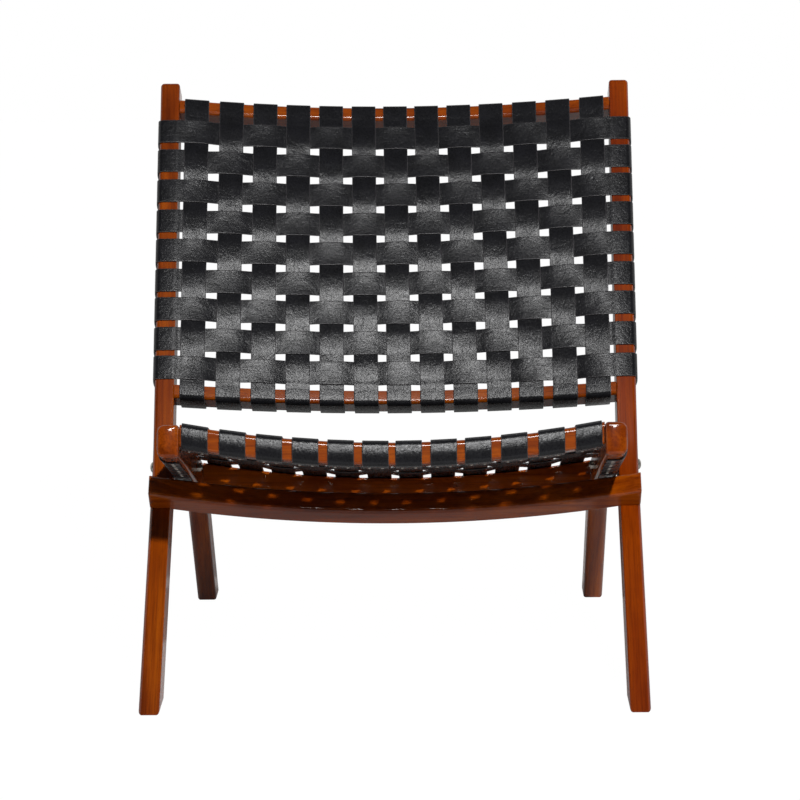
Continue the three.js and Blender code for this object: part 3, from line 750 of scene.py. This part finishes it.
top_edge = [(x, stretcher_front(x)) for x in spread(POST_OUTER, BOW_STEPS)]
between = POST_INNER - FIT
rear_edge = [(x, stretcher_front(x) - STRETCHER_DEPTH) for x in spread(between, BOW_STEPS)]
notched = [(-POST_OUTER, FIT), (-between, FIT), *rear_edge, (between, FIT), (POST_OUTER, FIT)]
outline = [leg_place(x, STRETCHER_TOP, off) for x, off in top_edge + notched[::-1]]
down_leg = leg_place(0, 0, 0) - leg_place(0, STRETCHER_HEIGHT, 0)
stretcher = traced("front_stretcher_bow", outline, down_leg)


def stretcher_radius(a, b):
    if near(a.x, b.x):
        return STRETCHER_END_ROUND if near(abs(a.x), POST_OUTER) else 0.0
    offs = [(Vector(p.yz) - TOE).dot(LEG_OUT) for p in (a, b)]
    ups = [(Vector(p.yz) - TOE).dot(LEG_UP) for p in (a, b)]
    if not near(*ups):
        return 0.0
    in_front = all(off > stretcher_front(p.x) - STRETCHER_DEPTH / 3 for p, off in zip((a, b), offs))
    return STRETCHER_ROUND if in_front else STRETCHER_REAR_ROUND


rounded_over(stretcher, stretcher_radius)
store_grain(stretcher, coordinates(stretcher) + 1.7)
finished(stretcher, WOOD, "back_frame", "lacquered_wood", "front_stretcher")
print("stretcher reaches", round(STRETCHER_TOP, 4), "m up the legs")

# %% [markdown]
# ## Straps
#
# The straps are what the chair is known by. Each is one length of leather that starts behind a
# rail or a plank, wraps round it, passes over and under the straps that cross it, and ends
# behind the other side. It is made as a harness maker would: a flat strip is cut first, as a
# grid primitive, and then laid along its path. Solidify gives it thickness and a Bevel eases
# the cut edges. A simulation isn't needed, because the straps are tight.
#
# The straps are spaced evenly, and then each is laid off its place by a few millimetres, as a
# person does who pulls them tight by hand.

# %% Where the straps lie
# How far straps are laid off their even place, in millimetres: to the right for a lengthwise
# strap, down the back or towards the rear of the seat for a cross strap. Each rule gives it for
# a strap's start or end, by its share of the way across the panel, from 0 to 1.
SCATTER = 0.8


def hump(share):
    return math.sin(math.pi * share)


def sway(share):
    return math.sin(2 * math.pi * share)


LAYING = {
    "back_long": (lambda share: 3 * sway(share), lambda share: 6 * hump(share)),
    "back_cross": (lambda share: 4 * hump(share), lambda share: -3 * hump(share)),
    "seat_long": (lambda share: 4 * sway(share), lambda share: 3 - 10 * share),
    "seat_cross": (lambda share: 8 * share ** 2, lambda share: 8 * share ** 2),
}


def laid_by_hand(panel, kind):
    """The offsets of every strap of a kind at its start and at its end, with a little scatter."""
    name = f"{panel['name']}_{kind}"
    hand = random.Random(name)
    shares = [index / (panel[kind] - 1) for index in range(panel[kind])]
    return [[(rule(share) + hand.uniform(-SCATTER, SCATTER)) * MM for share in shares]
            for rule in LAYING[name]]


LAID_OFF = {(panel["name"], kind): laid_by_hand(panel, kind)
            for panel in (BACK, SEAT) for kind in ("long", "cross")}
print("straps laid off by up to", round(max(map(max, sum(LAID_OFF.values(), []))) * 1000, 1), "mm")


def even_place(panel, kind, index):
    if kind == "cross":
        return panel["first"] + STRAP_WIDTH / 2 + index * panel["cross_pitch"]
    return (index - (panel["long"] - 1) / 2) * panel["long_pitch"]


def laid_off(panel, kind, index):
    starts, ends = LAID_OFF[panel["name"], kind]
    return starts[index], ends[index]


def strap_centres(panel, kind, share):
    """The middles of all straps of a kind, at a share of the way from their start to their end."""
    centres = []
    for index in range(panel[kind]):
        start, end = laid_off(panel, kind, index)
        centres.append(even_place(panel, kind, index) + start + (end - start) * share)
    return centres


# %% [markdown]
# The path of a strap is a list of points in the panel: how far along it lies, at what level,
# and how far its edges are cupped. Where a strap passes over another it rises, and where it
# passes under one it dips, on a smooth wave that is a little flattened over the crossings.

# %% Over and under
CROSSING_LIFT = {"long": 1.3 * MM, "cross": 1.0 * MM}
FLATNESS = 1.4
CROSSING_HALF = STRAP_WIDTH / 2
STEPS_PER_CROSSING = 16


def lift(kind, u, centres, over_first):
    """How far a strap rises or dips at a place along it, and the same wave from -1 to 1."""
    offsets = [abs(u - centre) for centre in centres]
    off = min(offsets)
    index = offsets.index(off)
    sign = 1 if (index % 2 == 0) == over_first else -1
    beyond = index + (1 if u > centres[index] else -1)
    spacing = abs(centres[beyond] - centres[index]) if 0 <= beyond < len(centres) else 0
    half_way = max(spacing / 2, CROSSING_HALF + 1 * MM)
    wave = sign * math.cos(math.pi / 2 * min(off / half_way, 1) ** FLATNESS)
    return CROSSING_LIFT[kind] * wave, wave


def weave(kind, centres, over_first, level_at):
    """The woven stretch, from the first crossing to the last."""
    start, end = centres[0] - CROSSING_HALF, centres[-1] + CROSSING_HALF
    steps = STEPS_PER_CROSSING * len(centres)
    woven = []
    for step in range(steps + 1):
        u = start + (end - start) * step / steps
        height, cup = lift(kind, u, centres, over_first)
        woven.append((u, level_at(u) + height, cup))
    return woven


def weave_level(panel, x, distance):
    """The level of the weave's middle, which goes from one rail's bow to the other's."""
    first, last = panel["rails"]
    share = (distance - first["inner"]) / (last["inner"] - first["inner"])
    between = first["bow"] + (last["bow"] - first["bow"]) * share
    bow = between + (panel["middle_bow"] - between) * 4 * share * (1 - share)
    return REACH - bow * bow_share(x, panel["inner"])


# %% [markdown]
# At its ends a strap is wrapped round the wood: over the face, round two rounded edges and back
# a little behind it. Between the two edges tight leather still swells a little.

# %% Round the wood
ARC_STEPS, EASED_STEPS = 6, 6
END_INSET = 4 * MM
SWELL, SWELL_STEPS = 0.9 * MM, 5


def wrap(inner, outer, face, depth, face_round, under_round):
    """Round a rail or plank from its face to the strap's end behind it."""
    outward = 1 if outer > inner else -1
    under = face - depth
    corners = ((face_round, face - face_round, math.pi / 2), (under_round, under + under_round, 0))
    points = []
    for radius, level, start in corners:
        reach = radius + REACH
        if points:
            top = points[-1][1]
            for step in range(1, SWELL_STEPS):
                share = step / SWELL_STEPS
                swell = SWELL * math.sin(math.pi * share)
                points.append((outer + outward * (REACH + swell), top + (level - top) * share, 0))
        for step in range(ARC_STEPS + 1):
            angle = start - math.pi / 2 * step / ARC_STEPS
            points.append((outer + outward * (reach * math.cos(angle) - radius),
                           level + reach * math.sin(angle), 0))
    points.append((inner + outward * END_INSET, under - REACH, 0))
    return points


def eased(start, end):
    """Points between two points of a path, level at both ends."""
    shares = [step / EASED_STEPS for step in range(1, EASED_STEPS)]
    return [tuple(a + (b - a) * (t if place == 0 else t * t * (3 - 2 * t))
                  for place, (a, b) in enumerate(zip(start, end))) for t in shares]


def whole_path(wrapped, woven):
    """Joins the two wrapped ends to the woven stretch between them."""
    (start_rest, start), (end_rest, end) = wrapped
    return [*start[::-1], start_rest, *eased(start_rest, woven[0]), *woven,
            *eased(woven[-1], end_rest), end_rest, *end]


# %% From end to end
def long_path(panel, index, x):
    """From rail to rail, at a place x across the panel."""
    wrapped = []
    for rail in panel["rails"]:
        face = face_level(panel, rail, x)
        around = wrap(rail["inner"], rail["outer"], face, panel["rail_depth"],
                      rail["outer_round"], panel["under_round"])
        wrapped.append(((rail["inner"], face + REACH, 0), around))
    centres = strap_centres(panel, "cross", 0.5 + x / (2 * panel["inner"]))
    woven = weave("long", centres, index % 2 == 1, lambda u: weave_level(panel, x, u))
    return whole_path(wrapped, woven)


def cross_path(panel, index, distance):
    """From side plank to side plank, at a distance down the panel."""
    wrapped = []
    for sign in (-1, 1):
        around = wrap(sign * panel["inner"], sign * panel["outer"], 0, panel["depth"](distance),
                      panel["outer_round"], panel["outer_round"])
        wrapped.append(((sign * (panel["inner"] + panel["inner_round"]), REACH, 0), around))
    first, last = (rail["inner"] for rail in panel["rails"])
    centres = strap_centres(panel, "long", (distance - first) / (last - first))
    woven = weave("cross", centres, index % 2 == 0, lambda u: weave_level(panel, u, distance))
    return whole_path(wrapped, woven)


# %% [markdown]
# A strap that isn't laid evenly lies askew, so its path is worked out at both ends' places and
# blended along it. The strip has eight columns of points across, closer together near its cut
# edges. Where another strap passes behind, the edges are pushed outwards a little.

# %% Laying a strap
COLUMNS = [-1, -0.93, -0.6, -0.2, 0.2, 0.6, 0.93, 1]
EDGE_DROP, CUPPING = 0.1 * MM, {"long": 0.4 * MM, "cross": 0.8 * MM}


def strip_points(panel, kind, index, path_at, place):
    """The strap's points, one row for each step of its path and one column for each of COLUMNS."""
    start, end = laid_off(panel, kind, index)
    middle = even_place(panel, kind, index)
    columns = []
    for share in COLUMNS:
        value = middle + STRAP_WIDTH / 2 * share
        paths = path_at(value + start), path_at(value + end)
        column = []
        for row, (first, last) in enumerate(zip(*paths)):
            along = row / (len(paths[0]) - 1)
            u, level, cup = (a + (b - a) * along for a, b in zip(first, last))
            level += (CUPPING[kind] * cup - EDGE_DROP) * share ** 2
            column.append(place(value + start + (end - start) * along, u, level))
        columns.append(column)
    return np.array(columns).transpose(1, 0, 2)


def lay_strip(name, points):
    """A grid whose points are moved onto the path, with its flat pattern in its UV map."""
    rows, columns = points.shape[:2]
    bpy.ops.object.select_all(action="DESELECT")
    bpy.ops.mesh.primitive_grid_add(x_subdivisions=columns - 1, y_subdivisions=rows - 1, size=1)
    strip = bpy.context.object
    strip.name = strip.data.name = name
    for vertex in strip.data.vertices:
        column = round((vertex.co.x + 0.5) * (columns - 1))
        row = round((vertex.co.y + 0.5) * (rows - 1))
        vertex.co = points[row, column]
    middle_line = points[:, columns // 2]
    travelled = np.zeros(rows)
    travelled[1:] = np.cumsum(np.linalg.norm(np.diff(middle_line, axis=0), axis=1))
    flat = np.empty(len(strip.data.loops) * 2)
    strip.data.uv_layers[0].data.foreach_get("uv", flat)
    flat = flat.reshape(-1, 2)
    columns_of = np.rint(flat[:, 0] * (columns - 1)).astype(int)
    rows_of = np.rint(flat[:, 1] * (rows - 1)).astype(int)
    flat[:, 0] = (np.array(COLUMNS)[columns_of] + 1) / 2 * STRAP_WIDTH
    flat[:, 1] = travelled[rows_of] + random.uniform(0, HIDE_LENGTH)
    strip.data.uv_layers[0].data.foreach_set("uv", flat.ravel())
    return strip


# %% [markdown]
# Every strap is cut from another place of the hide, so its pattern starts at a seeded random
# length. The strip's middle is the path, so Solidify thickens it to both sides by as much.

# %% Cutting and thickening a strap
random.seed(11)
HIDE_LENGTH = 40
EDGE_ROUND = 0.6 * MM


def make_strap(node, panel, points):
    strip = lay_strip(f"{node}_leather", points)
    alone(strip)
    thick = strip.modifiers.new("thickness", "SOLIDIFY")
    thick.thickness, thick.offset, thick.use_even_offset = STRAP_THICKNESS, 0, True
    bpy.ops.object.modifier_apply(modifier=thick.name)
    eased_edge = strip.modifiers.new("eased edges", "BEVEL")
    eased_edge.width, eased_edge.segments = EDGE_ROUND, 2
    eased_edge.angle_limit = math.radians(60)
    bpy.ops.object.modifier_apply(modifier=eased_edge.name)
    bpy.ops.object.shade_smooth()
    finished(strip, LEATHER, panel["body"], "leather_strap", node)
    return strip


def weave_panel(panel):
    for index in range(panel["long"]):
        points = strip_points(panel, "long", index, lambda x: long_path(panel, index, x),
                              lambda x, u, level: panel["place"](x, u, level))
        make_strap(f"{panel['name']}_long_strap_{index + 1:02d}", panel, points)
    for index in range(panel["cross"]):
        points = strip_points(panel, "cross", index,
                              lambda distance: cross_path(panel, index, distance),
                              lambda distance, u, level: panel["place"](u, distance, level))
        make_strap(f"{panel['name']}_cross_strap_{index + 1:02d}", panel, points)


for panel in (BACK, SEAT):
    weave_panel(panel)
    print(panel["name"], "woven from", panel["long"], "long and", panel["cross"], "cross straps")

# %% [markdown]
# ## Tacks
#
# Each end of a strap is held behind the wood by two tacks with low domed heads. A tack is a
# small flattened sphere that is half sunk in the leather, and the tacks of a panel are joined.

# %% Tacks
TACK_RADIUS, TACK_FLATTENING = 2.3 * MM, 0.45
TACK_INSET, TACK_SPREAD = 8 * MM, 8 * MM
STRAP_BACK = REACH + STRAP_THICKNESS / 2


def strap_ends(panel):
    """The place of each tack and the direction that its head faces."""
    for index in range(panel["long"]):
        places = laid_off(panel, "long", index)
        for rail, shift in zip(panel["rails"], places):
            outward = 1 if rail["outer"] > rail["inner"] else -1
            u = rail["inner"] + outward * (END_INSET + TACK_INSET)
            for side in (-TACK_SPREAD, TACK_SPREAD):
                x = even_place(panel, "long", index) + shift + side
                level = face_level(panel, rail, x) - panel["rail_depth"] - STRAP_BACK
                yield panel["place"](x, u, level), panel["place"](x, u, level - 1)
    for index in range(panel["cross"]):
        places = laid_off(panel, "cross", index)
        for sign, shift in zip((-1, 1), places):
            x = sign * (panel["inner"] + END_INSET + TACK_INSET)
            for side in (-TACK_SPREAD, TACK_SPREAD):
                u = even_place(panel, "cross", index) + shift + side
                level = -panel["depth"](u) - STRAP_BACK
                yield panel["place"](x, u, level), panel["place"](x, u, level - 1)


def drive_tacks(panel):
    made = []
    for at, beyond in strap_ends(panel):
        turn = (beyond - at).to_track_quat("Z", "Y").to_euler()
        bpy.ops.mesh.primitive_uv_sphere_add(segments=8, ring_count=5, radius=TACK_RADIUS,
                                             location=at, rotation=turn,
                                             scale=(1, 1, TACK_FLATTENING))
        made.append(bpy.context.object)
    bpy.ops.object.select_all(action="DESELECT")
    for tack in made:
        tack.select_set(True)
    bpy.context.view_layer.objects.active = made[0]
    bpy.ops.object.join()
    bpy.ops.object.transform_apply(location=True, rotation=True, scale=True)
    tacks = bpy.context.object
    tacks.name = tacks.data.name = f"{panel['name']}_tacks"
    bpy.ops.object.shade_smooth()
    finished(tacks, STEEL, panel["body"], "pivot_steel")
    return tacks, len(made)


for panel in (BACK, SEAT):
    tacks, count = drive_tacks(panel)
    print(tacks.name, "are", count, "tacks with", len(tacks.data.polygons), "faces")

# %% [markdown]
# ## Pivot bolts
#
# A bolt with a domed head passes through both planks on each side. The head is a disc that is
# extruded and made smaller ring by ring, as a dome is modelled by hand. A socket for a hexagon
# key is cut out of it, and the shank is extruded from the other side. The spacers and nuts lie
# between the frames and hardly show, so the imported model's own shapes stay, in steel.

# %% Helpers for the bolts
HEAD_RADIUS, HEAD_RIM, HEAD_DOME, SHANK_RADIUS = 7 * MM, 1.5 * MM, 3.5 * MM, 3.2 * MM
SOCKET_RADIUS, SOCKET_DEPTH = 2.6 * MM, 3 * MM
DOME_RINGS, DOME_ANGLE = 8, math.radians(82)
HEAD_SIDES, SOCKET_SIDES = 48, 6


def disc(name, x, radius, sides):
    bpy.ops.object.select_all(action="DESELECT")
    bpy.ops.mesh.primitive_circle_add(vertices=sides, radius=radius, fill_type="NGON",
                                      location=(x, *PIVOT), rotation=(0, math.pi / 2, 0))
    made = bpy.context.object
    bpy.ops.object.transform_apply(location=True, rotation=True, scale=True)
    made.name = made.data.name = name
    bpy.ops.object.mode_set(mode="EDIT")
    bpy.ops.mesh.select_all(action="SELECT")
    return made


def push(x, size=1.0):
    """Extrudes the selected face along X and makes its end larger or smaller."""
    bpy.ops.mesh.extrude_region_move(TRANSFORM_OT_translate={"value": (x, 0, 0)})
    centre = (0, *PIVOT)
    bpy.ops.transform.resize(value=(1, size, size), center_override=centre)


def keep_faces(made, x):
    """Selects the faces that lie at a place along X."""
    bpy.ops.object.mode_set(mode="OBJECT")
    for face in made.data.polygons:
        face.select = all(near(made.data.vertices[i].co.x, x) for i in face.vertices)
    for edge in made.data.edges:
        edge.select = False
    bpy.ops.object.mode_set(mode="EDIT")


# %% Bolts, spacers and nuts
def make_bolt(word, sign):
    node = f"pivot_bolt_{word}"
    seat = sign * (POST_OUTER + FIT)
    bolt = disc(f"{node}_domed", seat, HEAD_RADIUS, HEAD_SIDES)
    push(sign * HEAD_RIM)
    angles = [DOME_ANGLE * ring / DOME_RINGS for ring in range(DOME_RINGS + 1)]
    for before, after in zip(angles, angles[1:]):
        rise = math.sin(after) - math.sin(before)
        push(sign * HEAD_DOME * rise, math.cos(after) / math.cos(before))
    bpy.ops.mesh.select_mode(type="FACE")
    keep_faces(bolt, seat)
    bpy.ops.mesh.inset(thickness=HEAD_RADIUS - SHANK_RADIUS)
    tip = min(abs(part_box(node)[0].x), abs(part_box(node)[1].x))
    push(sign * tip - seat)
    close_up()
    end = sign * (POST_OUTER + FIT + HEAD_RIM + HEAD_DOME)
    socket = disc("socket_cutter", end - sign * SOCKET_DEPTH, SOCKET_RADIUS, SOCKET_SIDES)
    push(sign * 2 * SOCKET_DEPTH)
    close_up()
    alone(bolt)
    cut = bolt.modifiers.new("socket", "BOOLEAN")
    cut.operation, cut.object = "DIFFERENCE", socket
    bpy.ops.object.modifier_apply(modifier=cut.name)
    bpy.data.objects.remove(socket)
    bpy.ops.object.shade_smooth_by_angle(angle=SMOOTH_ANGLE)
    finished(bolt, STEEL, "back_frame", "pivot_steel", node)
    return bolt


for word, sign in SIDES:
    print(make_bolt(word, sign).name, "reaches", round(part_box(f"pivot_bolt_{word}")[0].x, 4))
    for part in ("spacer", "nut"):
        node = frame["nodes"][f"pivot_{part}_{word}"]
        node.data.materials.clear()
        node.data.materials.append(STEEL)

# %% [markdown]
# ## Floor, background and light
#
# The photograph is a studio one on pure white. The floor is pale paint, which the lamps light
# and the chair shades. Mixed with it is a white glow: nearly all of it for the camera's rays, so
# that the picture's background is white, and a small share for rays through gloss or glass.

# %% Stage
FLOOR_SIZE, FLOOR_LEVEL, FLOOR_TONE = 16.0, -0.5 * MM, tone(218, 218, 218)
FLOOR_WHITE, FLOOR_GLOW, FLOOR_GLOSS = 0.98, 1.02, 0.15
WHITE = (1, 1, 1, 1)


def calculated(tree, operation, *values):
    made = put(tree, "Math", dict(enumerate(values)), operation=operation)
    return made.outputs[0]


def background_rays(tree):
    """1 for the rays that see the background, also by gloss or glass, and 1 for the camera's."""
    rays = put(tree, "LightPath").outputs
    seen = calculated(tree, "MAXIMUM", rays["Is Camera Ray"], rays["Is Glossy Ray"])
    seen = calculated(tree, "MAXIMUM", seen, rays["Is Transmission Ray"])
    return seen, rays["Is Camera Ray"]


bpy.ops.object.select_all(action="DESELECT")
bpy.ops.mesh.primitive_plane_add(size=FLOOR_SIZE, location=(0, 0, FLOOR_LEVEL))
floor = bpy.context.object
floor.name = "floor"
paint, tree, shader = new_material("pale_floor")
shader.inputs["Base Color"].default_value = FLOOR_TONE
shader.inputs["Roughness"].default_value = 0.9
seen, by_camera = background_rays(tree)
in_gloss = calculated(tree, "MULTIPLY", seen, FLOOR_GLOSS)
in_view = calculated(tree, "MULTIPLY", by_camera, FLOOR_WHITE)
white_share = calculated(tree, "MAXIMUM", in_gloss, in_view)
glow = put(tree, "Emission", {"Color": WHITE, "Strength": FLOOR_GLOW})
both = put(tree, "MixShader", {0: white_share})
tree.links.new(shader.outputs[0], both.inputs[1])
tree.links.new(glow.outputs[0], both.inputs[2])
tree.links.new(both.outputs[0], tree.nodes["Material Output"].inputs["Surface"])
floor.data.materials.append(paint)
print("floor", FLOOR_SIZE, "m square")

# %% [markdown]
# The white sweep stands behind the chair and reaches round its sides. The studio in front of it
# is dim, which is why the black leather looks black in the photograph. So reflections see a
# world that is white behind and dim in front, and rough surfaces get a little light from behind
# and hardly any from elsewhere. The camera sees white on every side.

# %% World
FILL_LEVEL, FILL_BEHIND = 0.006, 0.6
DIM_STUDIO, SIDE_SHARE = 0.02, 0.8
world = bpy.data.worlds.new("studio")
bpy.context.scene.world = world
world.use_nodes = True
tree = world.node_tree
background = tree.nodes["Background"]
background.inputs["Color"].default_value = WHITE
away = put(tree, "SeparateXYZ", {"Vector": put(tree, "TexCoord").outputs["Generated"]}).outputs
sideways = calculated(tree, "ABSOLUTE", away["X"])
round_the_back = calculated(tree, "MULTIPLY_ADD", sideways, SIDE_SHARE, away["Y"])
sweep = put(tree, "MapRange", {"Value": round_the_back, "From Min": 0.25, "From Max": 0.7,
                               "To Min": DIM_STUDIO, "To Max": 1.0}, interpolation_type="SMOOTHSTEP")
fill = put(tree, "MapRange", {"Value": away["Y"], "From Min": 0.3, "From Max": 0.8,
                              "To Min": FILL_LEVEL, "To Max": FILL_BEHIND})
seen, by_camera = background_rays(tree)
looked_at = put(tree, "MapRange", {"Value": seen, "To Min": fill.outputs["Result"],
                                   "To Max": sweep.outputs["Result"]}).outputs["Result"]
level = calculated(tree, "MAXIMUM", looked_at, by_camera)
tree.links.new(level, background.inputs["Strength"])
print("world", world.name, "is white behind the chair")

# %% [markdown]
# The key lamp is small and far away, high in front and to the right, because the photograph's
# shadows are sharp: the left leg shades itself, and light through the weave makes rows of dots
# on the stretcher. The lacquer doesn't show it. What it shows is a wide soft box straight in
# front, which lights nothing else: the sheen on the leather and the highlights on the wood.

# %% Lamps
def lamp(name, azimuth, elevation, distance, size, power, target):
    """A square soft lamp that looks at the chair. Azimuth 0 is in front, and it turns right."""
    a, e = math.radians(azimuth), math.radians(elevation)
    away = Vector((math.sin(a) * math.cos(e), -math.cos(a) * math.cos(e), math.sin(e)))
    bpy.ops.object.light_add(type="AREA", location=Vector(target) + away * distance)
    made = bpy.context.object
    made.name = name
    made.data.energy, made.data.size = power, size
    made.rotation_mode = "QUATERNION"
    made.rotation_quaternion = (-away).to_track_quat("-Z", "Y")
    return made


key_lamp = lamp("key_lamp", azimuth=15, elevation=39, distance=5.0, size=0.2, power=240,
                target=(0, -0.1, 0.35))
key_lamp.visible_glossy = False
front_box = lamp("front_box", azimuth=1, elevation=31.5, distance=2.2, size=0.5, power=38,
                 target=(0, 0.12, 0.45))
front_box.visible_diffuse = False
bpy.context.scene.view_settings.view_transform = "Standard"
print("lamps:", key_lamp.name, "and", front_box.name)
